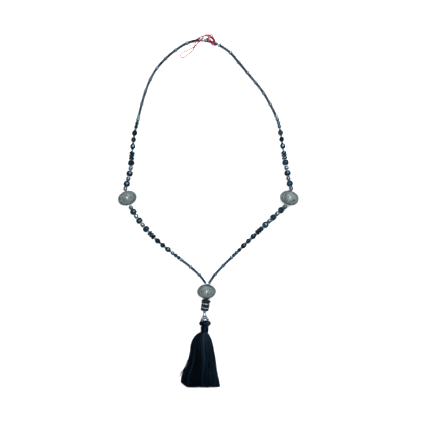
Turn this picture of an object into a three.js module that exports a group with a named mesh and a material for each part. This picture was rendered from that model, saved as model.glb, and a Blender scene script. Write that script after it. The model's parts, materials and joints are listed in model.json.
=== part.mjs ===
// Misbaha prayer beads: a loop of beads on a string, with a guru bead, a pendant of discs and a tassel,
// and a red thread tied round the top. It lies flat: +Z is up, the table is z = 0, and the tassel points
// along -Y. All sizes are in millimetres.
import * as THREE from 'three';

// ---- driving dimensions ----
const STRING_RADIUS = 0.3;
const BORE_RADIUS = 0.7; // in small beads, which bend with the string
const LARGE_BORE_RADIUS = 0.85; // in straight beads
const NODE_GAP = 0.36; // clearance between neighbouring pieces on the string
const PIVOT_GAP = 0.7; // clearance beside a place where the strand folds
const PENDANT_GAP = 0.5; // clearance between the guru bead's foot and the pendant
const LOWER_GAP = 0.35; // clearance between the guru bead and the first seeds
const STRING_STEP = 4; // length of one step of a string
const STRING_END_GAP = 0.1; // between the end of a string and the guru bead's side

const SEED = { radius: 1.3, neck: 1 };
const LOWER_SEED_PITCH = 2.2;
const UPPER_SEED_PITCH = 2.45;
const SEEDS_IN_RUN = 5;
const LOWER_RUNS = 3;
const LEFT_UPPER_RUNS = 8;
const RIGHT_UPPER_RUNS = 7; // the eighth run hangs on the left strand, past the closure
const SPACER = { radius: 2.2, length: 1.8 };
const PALE = { radius: 1.2, length: 1.2 }; // tiny bead between larger ones
const ROUND = { radius: 1.9, length: 4.1 };
const BICONE = { radius: 2.75, length: 6.0 };
const RONDELLE = { radius: 2.75, length: 2.95 };
const DARK = { radius: 3.35, length: 5.9 };
const SILVER = { radius: 2.4, length: 4.95 };
const CLOSURE = { radius: 1.7, length: 4.4, mouth: 0.95 };
const MEDALLION = { radius: 10, length: 14.8, thickness: 16, mouth: 2, room: 0.5, bore: 1.6 };
const GURU = { radius: 9.95, length: 16, thickness: 16, bore: 1.1 };
const DISC = { length: 2.5, radii: [4.75, 4.5, 4.25] };
const RING = { length: 1, radius: 4.3 };
const CAP = { length: 10, mouth: 4.6, wall: 0.8, knob: 1.6, gap: 0.3 };
const THREAD_RADIUS = 0.45;
const THREAD_STEP = 1.9;

// How many flat sides stand for a round section
const SMALL_SIDES = 6;
const BEAD_SIDES = 8;
const LARGE_SIDES = 10;
const DISC_SIDES = 12;
const ORNATE_SIDES = 16;

// ---- routes of the strings, [x, y, z], each from the guru bead's side to its far end ----
const LEFT_LOWER_ROUTE = [
  [-2.4, -74.6, 8], [-9.3, -65.8, 5.3], [-18.9, -57, 3.3], [-28.9, -49.2, 2.46], [-37.8, -42.4, 2.62],
  [-47.7, -34.6, 3], [-59, -24.4, 3.2], [-69.1, -13, 3.45], [-76.1, -3.8, 3.7], [-79.3, 1.6, 4.5],
  [-81.7, 5.8, 6.8], [-83, 8.2, 8],
];
const RIGHT_LOWER_ROUTE = [
  [0.5, -74.6, 8], [6.9, -65.3, 5.3], [16, -55.4, 3.3], [25.3, -46.4, 2.46], [33.5, -38.4, 2.64],
  [42.5, -29.6, 3], [53.5, -19, 3.2], [63.9, -9.3, 3.45], [72.3, -1.3, 3.7], [76.6, 2.7, 4.5],
  [80.8, 6.4, 6.8], [83.1, 8.4, 8],
];
const LEFT_UPPER_ROUTE = [
  [-83, 8.2, 8], [-84.1, 11.8, 8], [-85.3, 15.4, 8], [-87.5, 22.6, 7.9], [-87.5, 25.4, 6.9],
  [-86.3, 30.2, 4.6], [-84.9, 35, 3.6], [-83.5, 40.3, 3.4], [-82.3, 46, 3.45], [-81.2, 57, 3.3],
  [-79.9, 70, 2.95], [-78, 84.2, 2.85], [-74.9, 97, 2.3], [-70.6, 114.6, 2.2], [-66.8, 127.5, 2.2],
  [-61.7, 140.5, 2.2], [-54.8, 152.5, 2.2], [-45.4, 163.2, 2.2], [-34.7, 172.2, 2.2],
  [-22.8, 179.6, 2.3], [-9.3, 183, 2.6], [-2.7, 182.6, 2.6], [10.3, 178.5, 2.3],
];
const RIGHT_UPPER_ROUTE = [
  [83.1, 8.4, 8], [84.3, 12, 8], [85.5, 15.7, 8], [87.6, 22.8, 7.9], [87.5, 25.6, 6.9],
  [86.2, 30.8, 4.6], [84.9, 36, 3.6], [84, 41.6, 3.4], [82.8, 47.3, 3.45], [80.7, 58.8, 3.3],
  [78.7, 71.4, 2.95], [76.3, 86, 2.85], [74.2, 96.2, 2.3], [71.5, 103, 2.2], [65.3, 115.4, 2.2],
  [58.4, 127.2, 2.2], [49.7, 138.5, 2.2], [40.7, 149.2, 2.2], [31.9, 159.8, 2.2],
  [22.6, 170.4, 2.2], [10.9, 178.3, 2.3],
];
const PENDANT_ROUTE = [[-2.1, -91.4, 7.5], [-3, -97.2, 6.3], [-4, -103.4, 5.1]];
const CAP_ROUTE = [[-4, -103.4, 5.1], [-3.9, -108, 5.3], [-3.6, -114, 5.7]];
const GURU_CENTRE = [-1.9, -83.2, 8];

// Route of the red thread. It starts under the strand, passes over it, back under it and round its outside,
// goes out and back in a loop, twisted, and then takes the same way back to its other end.
const THREAD_ROUTE = [
  [-0.9, 182.6, 0.55], [-1.3, 184.6, 0.9], [-0.9, 184.8, 3.4], [1.1, 182, 4.7], [3.2, 179.6, 3.9],
  [5, 177.8, 1.9], [6.5, 178, 0.6], [6.3, 181, 0.55], [5.2, 183.6, 0.6], [3.2, 185.6, 0.7],
  [0.2, 187, 0.7], [-3.2, 187.7, 0.8], [-6.2, 187.2, 1.4], [-9, 186, 2.6], [-11.6, 183.9, 4.7],
  [-13.4, 181.3, 4.7], [-14.2, 178.6, 2.6], [-14.5, 176.2, 1], [-15.7, 173.5, 0.55],
  [-18.3, 170.5, 0.55], [-21.5, 167.9, 0.55], [-24.6, 165.4, 0.55], [-27, 164.3, 0.55],
  [-29.1, 165.8, 0.55], [-28.8, 168.4, 0.55], [-26.6, 170.2, 0.55], [-21.6, 172.6, 0.55],
  [-18, 174.2, 0.8], [-15.4, 175.5, 2], [-13, 177.4, 3], [-10.9, 179.7, 4.4], [-8.5, 182, 5.4],
  [-6.3, 184.4, 4.8], [-4.9, 186.6, 3.2], [-2.6, 188.6, 1.8], [0.4, 188.3, 1], [3.4, 186.9, 0.9],
  [5.7, 184.9, 0.9], [7.1, 182.2, 0.6], [7.9, 179.4, 0.55], [7.8, 177.5, 1.2], [6.2, 178.2, 3.6],
  [4.3, 180.4, 4.7], [2.2, 182.8, 4.9], [0.9, 184.9, 3.4], [0.2, 185.6, 1.6], [0.3, 184.2, 0.6],
  [1.2, 182.2, 0.55],
];

// Outline of the tassel: distance along -Y, left edge, right edge, lowest and highest z, and how flat
// its underside is, from 0 (round) to 1 (flat on the table)
const TASSEL_OUTLINE = [
  [-103.7, -4.3, -3.7, 4.8, 5.4, 0], [-112.2, -4, -3.4, 5.3, 5.9, 0], [-112.6, -5.2, -2.2, 4.1, 7.1, 0],
  [-113.5, -6.3, -1.1, 3, 8.2, 0], [-114.3, -8.4, 1.4, 1.4, 10.4, 0], [-116.4, -9.8, 3, 0.3, 12.2, 0],
  [-118.4, -8.9, 2.1, 1, 11.2, 0], [-119.4, -6.8, -0.8, 3, 8.9, 0], [-122.7, -6.9, -0.9, 3, 8.9, 0],
  [-125.7, -6.9, -0.9, 3, 8.9, 0], [-126.5, -10.2, -0.2, 1.6, 9.7, 0.3],
  [-132.5, -16.3, 3.3, 0.3, 10.8, 0.7], [-139.7, -19, 5.4, 0, 12, 1], [-146, -19.7, 6.7, 0, 12.4, 1],
  [-152.5, -21.1, 8, 0, 12.4, 1], [-160, -22.9, 9.1, 0, 12, 1], [-167, -26, 10.1, 0, 11.4, 1],
  [-174.3, -29.4, 11.6, 0, 10.4, 1], [-179.2, -29.9, 12.6, 0, 9.4, 1], [-182, -25.6, 12.4, 0, 8.8, 1],
  [-184.4, -23.4, 11.2, 0, 8, 1],
];
const TASSEL_SIDES = 16;
const WRAP = { middle: [-3.9, -122.7, 5.9], length: 5.8, radius: 4.1, wall: 0.7 };

// ---- materials ----
const FINISHES = {
  darkGlass: { color: 0x0b2030, roughness: 0.2, metalness: 0.5 },
  seedGlass: { color: 0x1c4260, roughness: 0.3, metalness: 0.7 },
  brightSilver: { color: 0x8fa5b3, roughness: 0.3, metalness: 0.9 },
  antiqueSilver: { color: 0x6f7f83, roughness: 0.45, metalness: 0.85 },
  blackGlass: { color: 0x05070a, roughness: 0.12, metalness: 0.1 },
  silk: { color: 0x0a1a28, roughness: 0.6, metalness: 0 },
  cord: { color: 0x22262c, roughness: 0.8, metalness: 0 },
  redThread: { color: 0xc41e3a, roughness: 0.8, metalness: 0 },
};

function meshOf(name, geometry, finish) {
  const mesh = new THREE.Mesh(geometry, new THREE.MeshStandardMaterial(FINISHES[finish]));
  mesh.name = name;
  return mesh;
}

// ---- curves ----
function curveOf(points) {
  const places = points.map((point) => new THREE.Vector3(...point));
  const curve = new THREE.CatmullRomCurve3(places, false, 'centripetal');
  curve.arcLengthDivisions = 800;
  return curve;
}

// The part of a curve between two distances along it.
class Stretch extends THREE.Curve {
  constructor(curve, start, end) {
    super();
    this.curve = curve;
    this.start = start;
    this.end = end;
  }

  getPoint(t, target) {
    const distance = this.start + (this.end - this.start) * t;
    return this.curve.getPointAt(distance / this.curve.getLength(), target);
  }
}

// The place and the three axes at a distance along a curve: x sideways, y along the curve, z up.
function frameAt(curve, distance) {
  const t = THREE.MathUtils.clamp(distance / curve.getLength(), 0, 1);
  const along = curve.getTangentAt(t);
  const side = along.clone().cross(new THREE.Vector3(0, 0, 1)).normalize();
  const up = side.clone().cross(along);
  return new THREE.Matrix4().makeBasis(side, along, up).setPosition(curve.getPointAt(t));
}

function tube(name, path, length, radius, step, sides, finish) {
  const shape = new THREE.Shape().absarc(0, 0, radius, 0, 2 * Math.PI);
  const steps = Math.ceil(length / step);
  const options = { steps, curveSegments: sides / 2, bevelEnabled: false, extrudePath: path };
  return meshOf(name, new THREE.ExtrudeGeometry(shape, options), finish);
}

function stringAlong(name, curve, start, end) {
  const path = new Stretch(curve, start, end);
  return tube(name, path, end - start, STRING_RADIUS, STRING_STEP, SMALL_SIDES, 'cord');
}

// ---- bead outlines: [radius, height] points from the lower hole to the upper one ----
function ballOutline({ radius, length, mouth = 1 }, steps) {
  const tip = Math.acos(mouth / radius);
  const points = [];
  for (let i = 0; i <= steps; i += 1) {
    const angle = tip * ((2 * i) / steps - 1);
    const height = (length / 2) * (Math.sin(angle) / Math.sin(tip));
    points.push([radius * Math.cos(angle), height + length / 2]);
  }
  return points;
}

function biconeOutline({ radius, length }) {
  const land = 0.12 * length;
  return [[1, 0], [radius, length / 2 - land], [radius, length / 2 + land], [1, length]];
}

function discOutline({ radius, length }, rim = 0.22) {
  return [
    [radius * (1 - rim), 0], [radius, length * 0.28], [radius, length * 0.72], [radius * (1 - rim), length],
  ];
}

function seedOutline(pitch) {
  return [[SEED.neck, 0], [SEED.radius, pitch / 2], [SEED.neck, pitch]];
}

// Items strung one after another as one outline; each item's last height is its length.
function joinedOutline(items) {
  const outer = [];
  const joints = [0];
  let start = 0;
  for (const item of items) {
    for (const [radius, height] of item) {
      const last = outer.at(-1);
      const repeats = last && last[0] === radius && last[1] === height + start;
      if (!repeats) outer.push([radius, height + start]);
    }
    start += item.at(-1)[1];
    joints.push(start);
  }
  return { outer, joints, length: start };
}

function lathe(outline, sides) {
  const profile = outline.map(([radius, height]) => new THREE.Vector2(radius, height));
  return new THREE.LatheGeometry(profile, sides);
}

// A bead turned round its hole, with its height along y.
function turned(outer, joints, bore, sides) {
  const hole = joints.toReversed().map((height) => [bore, height]);
  return lathe([...outer, ...hole, outer[0]], sides);
}

function repeated(count, make) {
  return Array.from({ length: count }, (_, i) => make(i)).flat();
}

// ---- pieces: what is threaded on the string ----
// A group of small beads that bends with the string, as one solid
function bendingPiece(name, items, sides, finish) {
  const { outer, joints, length } = joinedOutline(items);
  return { name, length, finish, bends: true, geometry: turned(outer, joints, BORE_RADIUS, sides) };
}

// One straight bead, with its middle at y = 0
function straightPiece(name, outline, sides, finish, bore = LARGE_BORE_RADIUS) {
  const length = outline.at(-1)[1];
  const geometry = turned(outline, [0, length], bore, sides);
  geometry.translate(0, -length / 2, 0);
  return { name, length, finish, geometry };
}

function seedRuns(runs, pitch) {
  return repeated(runs, () => [...repeated(SEEDS_IN_RUN, () => [seedOutline(pitch)]), discOutline(SPACER)]);
}

// The beads in threes. Pale beads stand before, between and after the bicones, and after the rondelles.
function smallGroups(prefix) {
  const pale = ballOutline(PALE, 1);
  const rounds = repeated(3, () => [ballOutline(ROUND, 3)]);
  const bicones = repeated(3, () => [pale, biconeOutline(BICONE)]);
  const rondelles = repeated(3, () => [ballOutline(RONDELLE, 3)]);
  return {
    rounds: bendingPiece(`${prefix}_round_beads`, rounds, BEAD_SIDES, 'darkGlass'),
    bicones: bendingPiece(`${prefix}_bicones`, [...bicones, pale], BEAD_SIDES, 'darkGlass'),
    rondelles: bendingPiece(`${prefix}_rondelles`, [...rondelles, pale], BEAD_SIDES, 'darkGlass'),
  };
}

function spacedSeeds(name, outlines) {
  return bendingPiece(name, outlines, SMALL_SIDES, 'seedGlass');
}

function darkBead(prefix, number) {
  const outline = ballOutline({ ...DARK, mouth: 1.15 }, 4);
  return straightPiece(`${prefix}_dark_bead_${number}`, outline, LARGE_SIDES, 'darkGlass');
}

function silverBead(prefix, number) {
  const outline = ballOutline({ ...SILVER, mouth: 1.05 }, 3);
  return straightPiece(`${prefix}_silver_bead_${number}`, outline, BEAD_SIDES, 'brightSilver');
}

function medallion(side) {
  const name = `${side}_medallion_bead`;
  const outline = ballOutline(MEDALLION, 8);
  const piece = straightPiece(name, outline, ORNATE_SIDES, 'antiqueSilver', MEDALLION.bore);
  piece.geometry.scale(1, 1, MEDALLION.thickness / (2 * MEDALLION.radius));
  piece.length += 2 * MEDALLION.room;
  return piece;
}

// ---- threading ----
function bendAlong(geometry, curve, start, stretch) {
  const position = geometry.attributes.position;
  const point = new THREE.Vector3();
  for (let i = 0; i < position.count; i += 1) {
    const distance = start + position.getY(i) * stretch;
    point.set(position.getX(i), 0, position.getZ(i)).applyMatrix4(frameAt(curve, distance));
    position.setXYZ(i, point.x, point.y, point.z);
  }
}

// Adds pieces one after another between two distances along a curve, and shares out what length is left.
function threadOn(group, curve, start, end, pieces) {
  const lengths = pieces.reduce((sum, piece) => sum + piece.length, 0);
  const stretch = (end - start) / (lengths + NODE_GAP * (pieces.length - 1));
  let at = start;
  for (const piece of pieces) {
    const length = piece.length * stretch;
    const mesh = meshOf(piece.name, piece.geometry, piece.finish);
    if (piece.bends) bendAlong(piece.geometry, curve, at, stretch);
    else mesh.applyMatrix4(frameAt(curve, at + length / 2));
    group.add(mesh);
    at += length + NODE_GAP * stretch;
  }
}

// From the guru bead to the fold under the medallion
function lowerStrand(side, route) {
  const prefix = `${side}_lower`;
  const curve = curveOf(route);
  const length = curve.getLength();
  const { rounds, bicones, rondelles } = smallGroups(prefix);
  const seeds = spacedSeeds(`${prefix}_seed_runs`, seedRuns(LOWER_RUNS, LOWER_SEED_PITCH));
  const large = repeated(3, (i) => [darkBead(prefix, i + 1), silverBead(prefix, i + 1)]);
  const strand = new THREE.Group();
  threadOn(strand, curve, LOWER_GAP, length - PIVOT_GAP, [seeds, rounds, bicones, rondelles, ...large]);
  strand.add(stringAlong(`${prefix}_string`, curve, STRING_END_GAP, length - NODE_GAP / 2));
  return strand;
}

// From the fold under the medallion to the top of the loop; extras are the pieces past its last spacer
function upperStrand(side, route, runs, extras) {
  const prefix = `${side}_upper`;
  const curve = curveOf(route);
  const length = curve.getLength();
  const { rounds, bicones, rondelles } = smallGroups(prefix);
  const beads = [discOutline(SPACER), ...seedRuns(runs, UPPER_SEED_PITCH)];
  const seeds = spacedSeeds(`${prefix}_seed_runs`, beads);
  const large = repeated(3, (i) => [silverBead(prefix, i + 1), darkBead(prefix, i + 1)]);
  const pieces = [medallion(side), ...large, rondelles, bicones, rounds, seeds, ...extras];
  const strand = new THREE.Group();
  threadOn(strand, curve, 0, length - NODE_GAP, pieces);
  strand.add(stringAlong(`${prefix}_string`, curve, NODE_GAP / 2, length - NODE_GAP));
  return strand;
}

function topPieces() {
  const run = repeated(SEEDS_IN_RUN, () => [seedOutline(UPPER_SEED_PITCH)]);
  return [
    bendingPiece('closure_bead', [ballOutline(CLOSURE, 4)], BEAD_SIDES, 'brightSilver'),
    spacedSeeds('top_seed_run', [discOutline(SPACER), ...run]),
  ];
}

// ---- guru bead ----
// Its hole runs along y; the dome faces the loop and the lower side narrows in an ogee to the pendant.
function guruBead() {
  const half = GURU.length / 2;
  const outline = [
    [2.5, -half], [3.5, -half + 0.6], [4.9, -half + 1.7], [6.8, -half + 3.1], [8.8, -half + 5],
    [GURU.radius, -1.2], [GURU.radius, 1.2], [9.2, 3.6], [7.4, 5.7], [4.9, 7.2], [2.4, half],
  ];
  const raised = outline.map(([radius, height]) => [radius, height + half]);
  const piece = straightPiece('guru_bead', raised, ORNATE_SIDES, 'antiqueSilver', GURU.bore);
  piece.geometry.scale(1, 1, GURU.thickness / (2 * GURU.radius));
  const mesh = meshOf(piece.name, piece.geometry, piece.finish);
  mesh.position.set(...GURU_CENTRE);
  return mesh;
}

function guruString() {
  const [x, y, z] = GURU_CENTRE;
  const reach = GURU.length / 2 - NODE_GAP / 2;
  const path = new THREE.LineCurve3(new THREE.Vector3(x, y - reach, z), new THREE.Vector3(x, y + reach, z));
  return tube('guru_string', path, 2 * reach, 2 * STRING_RADIUS, 2 * reach, BEAD_SIDES, 'cord');
}

// ---- pendant ----
function pendant() {
  const curve = curveOf(PENDANT_ROUTE);
  const pieces = [];
  DISC.radii.forEach((radius, i) => {
    const outline = discOutline({ radius, length: DISC.length }, 0.12);
    pieces.push(straightPiece(`black_disc_${i + 1}`, outline, DISC_SIDES, 'blackGlass'));
    if (i === DISC.radii.length - 1) return;
    const ring = discOutline(RING, 0.1);
    pieces.push(straightPiece(`silver_ring_${i + 1}`, ring, DISC_SIDES, 'brightSilver'));
  });
  const group = new THREE.Group();
  const length = curve.getLength();
  threadOn(group, curve, PENDANT_GAP, length - NODE_GAP / 2, pieces);
  group.add(stringAlong('pendant_string', curve, STRING_END_GAP, length - NODE_GAP));
  return group;
}

// The cap is a bell-shaped shell, open below, with a knob at its top. Its y axis points down the pendant.
function coneCap() {
  const { length, mouth, wall, knob, gap } = CAP;
  const outer = [
    [1, 0], [knob, 0.5], [knob, 1.4], [1.1, 1.9], [1.5, 2.6], [2, 4.3], [2.9, 6.2], [3.9, 7.9],
    [mouth, length - 0.9], [mouth, length],
  ];
  const inner = [[mouth - wall, length], [3, 8.1], [1.9, 6.4], [0.8, 4.6], [0.8, 0]];
  const mesh = meshOf('cone_cap', lathe([...outer, ...inner, outer[0]], DISC_SIDES), 'brightSilver');
  mesh.applyMatrix4(frameAt(curveOf(CAP_ROUTE), gap));
  return mesh;
}

// ---- tassel ----
function sectionPoint([y, left, right, low, high, flat], angle) {
  const round = (1 + Math.sin(angle)) / 2;
  const arch = Math.max(0, Math.sin(angle)) ** 0.8;
  const x = (left + right) / 2 + ((right - left) / 2) * Math.cos(angle);
  return [x, y, low + (high - low) * THREE.MathUtils.lerp(round, arch, flat)];
}

// A closed skin over sections of equal point count, from the first section to the last
function loft(sections) {
  const sides = sections[0].length;
  const positions = sections.flat(2);
  const index = [];
  for (let s = 0; s + 1 < sections.length; s += 1) {
    for (let i = 0; i < sides; i += 1) {
      const a = s * sides + i;
      const b = s * sides + ((i + 1) % sides);
      index.push(a, b, a + sides, b, b + sides, a + sides);
    }
  }
  const last = (sections.length - 1) * sides;
  for (let i = 1; i + 1 < sides; i += 1) {
    index.push(0, i + 1, i);
    index.push(last, last + i, last + i + 1);
  }
  const geometry = new THREE.BufferGeometry();
  geometry.setAttribute('position', new THREE.Float32BufferAttribute(positions, 3));
  geometry.setIndex(index);
  return geometry;
}

function tasselSilk() {
  const angles = repeated(TASSEL_SIDES, (i) => [(2 * Math.PI * i) / TASSEL_SIDES]);
  const sections = TASSEL_OUTLINE.map((row) => angles.map((angle) => sectionPoint(row, angle)));
  return meshOf('tassel_silk', loft(sections), 'silk');
}

// The band wound round the tassel's neck, a closed ring with its hole along y
function neckWrap() {
  const outer = discOutline(WRAP, 0.1);
  const bore = WRAP.radius - WRAP.wall;
  const mesh = meshOf('tassel_neck_wrap', turned(outer, [0, WRAP.length], bore, ORNATE_SIDES), 'silk');
  mesh.geometry.translate(0, -WRAP.length / 2, 0);
  mesh.position.set(...WRAP.middle);
  return mesh;
}

function redThread() {
  const curve = curveOf(THREAD_ROUTE);
  return tube('red_thread', curve, curve.getLength(), THREAD_RADIUS, THREAD_STEP, BEAD_SIDES, 'redThread');
}

// ---- the whole part ----
const misbaha = new THREE.Group();
misbaha.add(guruBead(), guruString());
misbaha.add(lowerStrand('left', LEFT_LOWER_ROUTE), lowerStrand('right', RIGHT_LOWER_ROUTE));
misbaha.add(upperStrand('left', LEFT_UPPER_ROUTE, LEFT_UPPER_RUNS, topPieces()));
misbaha.add(upperStrand('right', RIGHT_UPPER_ROUTE, RIGHT_UPPER_RUNS, []));
misbaha.add(pendant(), coneCap(), tasselSilk(), neckWrap());
misbaha.add(redThread());

export default misbaha;
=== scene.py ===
import json
import math

import bmesh
import bpy
import numpy as np
from mathutils import Matrix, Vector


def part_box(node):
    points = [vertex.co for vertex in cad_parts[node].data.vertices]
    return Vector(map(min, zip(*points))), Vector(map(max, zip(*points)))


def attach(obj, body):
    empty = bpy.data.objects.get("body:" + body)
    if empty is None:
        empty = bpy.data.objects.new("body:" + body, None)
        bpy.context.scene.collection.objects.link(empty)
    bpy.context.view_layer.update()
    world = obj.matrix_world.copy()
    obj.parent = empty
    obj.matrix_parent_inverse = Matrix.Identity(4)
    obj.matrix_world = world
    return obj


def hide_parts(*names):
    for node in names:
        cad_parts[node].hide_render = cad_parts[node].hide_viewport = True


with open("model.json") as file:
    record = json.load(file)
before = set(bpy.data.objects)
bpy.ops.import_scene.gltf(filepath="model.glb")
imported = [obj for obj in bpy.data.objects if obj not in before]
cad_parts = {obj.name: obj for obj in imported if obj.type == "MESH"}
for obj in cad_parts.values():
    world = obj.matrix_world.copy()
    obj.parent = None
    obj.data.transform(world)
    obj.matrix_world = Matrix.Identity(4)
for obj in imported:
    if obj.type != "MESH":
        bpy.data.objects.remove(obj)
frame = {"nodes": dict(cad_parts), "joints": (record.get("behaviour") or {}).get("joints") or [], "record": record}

MM = 0.001
FULL = 2 * math.pi
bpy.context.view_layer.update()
random = np.random.default_rng(11)

# ---- sizes ----
VIEW_CENTRE = (7.1, -2.2)  # the point of the table straight under the camera
VIEW_WIDTH = 455.8
CAMERA_HEIGHT = 1400
STRING_RADIUS = 0.3
THREAD_RADIUS = 0.54
BORE = 0.45
SEEDS_IN_RUN = 5
SEED = {"radius": 1.48, "pitch": 2.4}
SPACER = {"radius": 2.2, "length": 1.8}
PALE = {"radius": 1.25, "length": 1.2}
ROUND = {"radius": 2.05, "length": 4.1}
BICONE = {"radius": 2.85, "length": 6.0}
RONDELLE = {"radius": 2.95, "length": 2.95}
DARK = {"radius": 3.55, "length": 5.9}
SILVER = {"radius": 2.4, "length": 4.95}
DISC_RADII = (4.75, 4.5, 4.25)
DISC_LENGTH = 2.5
RING = {"radius": 4.25, "length": 1.0, "grains": 26, "grain_radius": 0.47, "hub_radius": 3.2, "hub_length": 1.6}
RELIEF = 0.36  # how far the wires and grains stand out of a silver bead's ground

# Cuts of the glass beads, as shares of a bead's radius and half length: the radius of its ends, the height and
# radius of the shoulder between its two belts of facets, and the height where its girdle begins
CUTS = {
    "round": {"tip": 0.5, "shoulder": (0.66, 0.85), "girdle": 0.15, "sides": 7, "bore": 0.6},
    "bicone": {"tip": 0.4, "shoulder": (0.6, 0.82), "girdle": 0.16, "sides": 8, "bore": 0.6},
    "rondelle": {"tip": 0.6, "shoulder": (0.7, 0.88), "girdle": 0.2, "sides": 10, "bore": 0.7},
    "dark": {"tip": 0.5, "shoulder": (0.66, 0.85), "girdle": 0.15, "sides": 9, "bore": 0.75},
}

# Route of the red thread. It starts under the strand, passes over it, back under it and round its outside,
# goes out and back in a loop, twisted, and then takes the same way back to its other end.
THREAD_ROUTE = [
    [-0.9, 182.6, 0.55], [-1.3, 184.6, 0.9], [-0.9, 184.8, 3.4], [1.1, 182, 4.7], [3.2, 179.6, 3.9],
    [5, 177.8, 1.9], [6.5, 178, 0.6], [6.3, 181, 0.55], [5.2, 183.6, 0.6], [3.2, 185.6, 0.7],
    [0.2, 187, 0.7], [-3.2, 187.7, 0.8], [-6.2, 187.2, 1.4], [-9, 186, 2.6], [-11.6, 183.9, 4.7],
    [-13.4, 181.3, 4.7], [-14.2, 178.6, 2.6], [-14.5, 176.2, 1], [-15.7, 173.5, 0.55],
    [-18.3, 170.5, 0.55], [-21.5, 167.9, 0.55], [-24.6, 165.4, 0.55], [-27, 164.3, 0.55],
    [-29.1, 165.8, 0.55], [-28.8, 168.4, 0.55], [-26.6, 170.2, 0.55], [-21.6, 172.6, 0.55],
    [-18, 174.2, 0.8], [-15.4, 175.5, 2], [-13, 177.4, 3], [-10.9, 179.7, 4.4], [-8.5, 182, 5.4],
    [-6.3, 184.4, 4.8], [-4.9, 186.6, 3.2], [-2.6, 188.6, 1.8], [0.4, 188.3, 1], [3.4, 186.9, 0.9],
    [5.7, 184.9, 0.9], [7.1, 182.2, 0.6], [7.9, 179.4, 0.55], [7.8, 177.5, 1.2], [6.2, 178.2, 3.6],
    [4.3, 180.4, 4.7], [2.2, 182.8, 4.9], [0.9, 184.9, 3.4], [0.2, 185.6, 1.6], [0.3, 184.2, 0.6],
    [1.2, 182.2, 0.55],
]


# ---- camera ----
def make_camera():
    """Straight above the table, with the photograph's field of view."""
    data = bpy.data.cameras.new("camera")
    data.lens = data.sensor_width * CAMERA_HEIGHT / VIEW_WIDTH
    camera = bpy.data.objects.new("camera", data)
    camera.location = (VIEW_CENTRE[0] * MM, VIEW_CENTRE[1] * MM, CAMERA_HEIGHT * MM)
    bpy.context.scene.collection.objects.link(camera)
    bpy.context.scene.camera = camera


make_camera()


# ---- lines ----
def unit(vectors):
    return vectors / np.linalg.norm(vectors, axis=-1, keepdims=True)


def travelled(line):
    """The distance along a line at each of its points."""
    return np.concatenate([[0], np.cumsum(np.linalg.norm(np.diff(line, axis=0), axis=1))])


def even(line, step):
    """The line again, with points about a step apart."""
    distance = travelled(line)
    at = np.linspace(0, distance[-1], max(2, math.ceil(distance[-1] / step) + 1))
    return np.stack([np.interp(at, distance, column) for column in line.T], axis=1)


def smooth(points, step):
    """A centripetal Catmull-Rom line through the points."""
    points = np.asarray(points, float)
    padded = np.vstack([2 * points[0] - points[1], points, 2 * points[-1] - points[-2]])
    line = [points[:1]]
    for before, start, end, after in zip(padded, padded[1:], padded[2:], padded[3:]):
        t0, t1, t2 = (
            math.sqrt(np.linalg.norm(q - p)) for p, q in ((before, start), (start, end), (end, after))
        )
        leave = ((start - before) / t0 - (end - before) / (t0 + t1) + (end - start) / t1) * t1
        arrive = ((end - start) / t1 - (after - start) / (t1 + t2) + (after - end) / t2) * t1
        count = max(2, math.ceil(4 * np.linalg.norm(end - start) / step))
        t = (np.arange(1, count + 1) / count)[:, None]
        blend_start = 2 * t**3 - 3 * t**2 + 1
        blend_leave = t**3 - 2 * t**2 + t
        blend_end = 3 * t**2 - 2 * t**3
        blend_arrive = t**3 - t**2
        line.append(blend_start * start + blend_leave * leave + blend_end * end + blend_arrive * arrive)
    return even(np.vstack(line), step)


def directions(path, closed=False):
    if closed:
        return unit(np.roll(path, -1, axis=0) - np.roll(path, 1, axis=0))
    return unit(np.gradient(path, axis=0))


def carried_up(path):
    """A direction across the path at each point, which starts upward and doesn't turn round the path."""
    along = directions(path)
    ups = [unit(np.array((0.0, 0.0, 1.0)) - np.dot((0, 0, 1), along[0]) * along[0])]
    for direction in along[1:]:
        up = ups[-1] - np.dot(ups[-1], direction) * direction
        ups.append(unit(up))
    return np.array(ups)


# ---- solids: (points, [faces with the same number of corners, ...]) ----
def grid(rows, columns, closed_rows=False):
    """Four-cornered faces between rows of points, which each close on themselves."""
    i = np.arange(rows if closed_rows else rows - 1)[:, None]
    j = np.arange(columns)[None, :]
    next_i = (i + 1) % rows
    next_j = (j + 1) % columns
    corners = (i * columns + j, i * columns + next_j, next_i * columns + next_j, next_i * columns + j)
    return np.stack(np.broadcast_arrays(*corners), axis=-1).reshape(-1, 4)


def tube(path, radius, sides, up=(0, 0, 1), closed=False):
    """A round bar along a path, with flat ends."""
    path = np.asarray(path, float)
    along = directions(path, closed)
    side = unit(np.cross(along, up))
    over = np.cross(side, along)
    angles = np.arange(sides) * FULL / sides
    reach = np.broadcast_to(radius, len(path))[:, None, None]
    round_it = np.cos(angles)[None, :, None] * side[:, None] + np.sin(angles)[None, :, None] * over[:, None]
    points = (path[:, None] + reach * round_it).reshape(-1, 3)
    faces = [grid(len(path), sides, closed_rows=closed)]
    if not closed:
        first = np.arange(sides)[None, ::-1]
        last = (len(path) - 1) * sides + np.arange(sides)[None, :]
        faces.append(np.vstack([first, last]))
    return points, faces


def plies(path, radius, pitch, count, sides, up=(0, 0, 1), closed=False):
    """Strands twisted round each other along a path, one solid each."""
    path = np.asarray(path, float)
    along = directions(path, closed)
    side = unit(np.cross(along, up))
    over = np.cross(side, along)
    distance = travelled(path)
    turns = distance / pitch
    if closed:
        whole = distance[-1] + np.linalg.norm(path[0] - path[-1])
        turns = distance / whole * max(1, round(whole / pitch))
    lay = 0.46 * radius
    for k in range(count):
        angle = FULL * (turns + k / count)
        middle = path + lay * (np.cos(angle)[:, None] * side + np.sin(angle)[:, None] * over)
        yield tube(middle, radius - lay, sides, over, closed)


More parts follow.
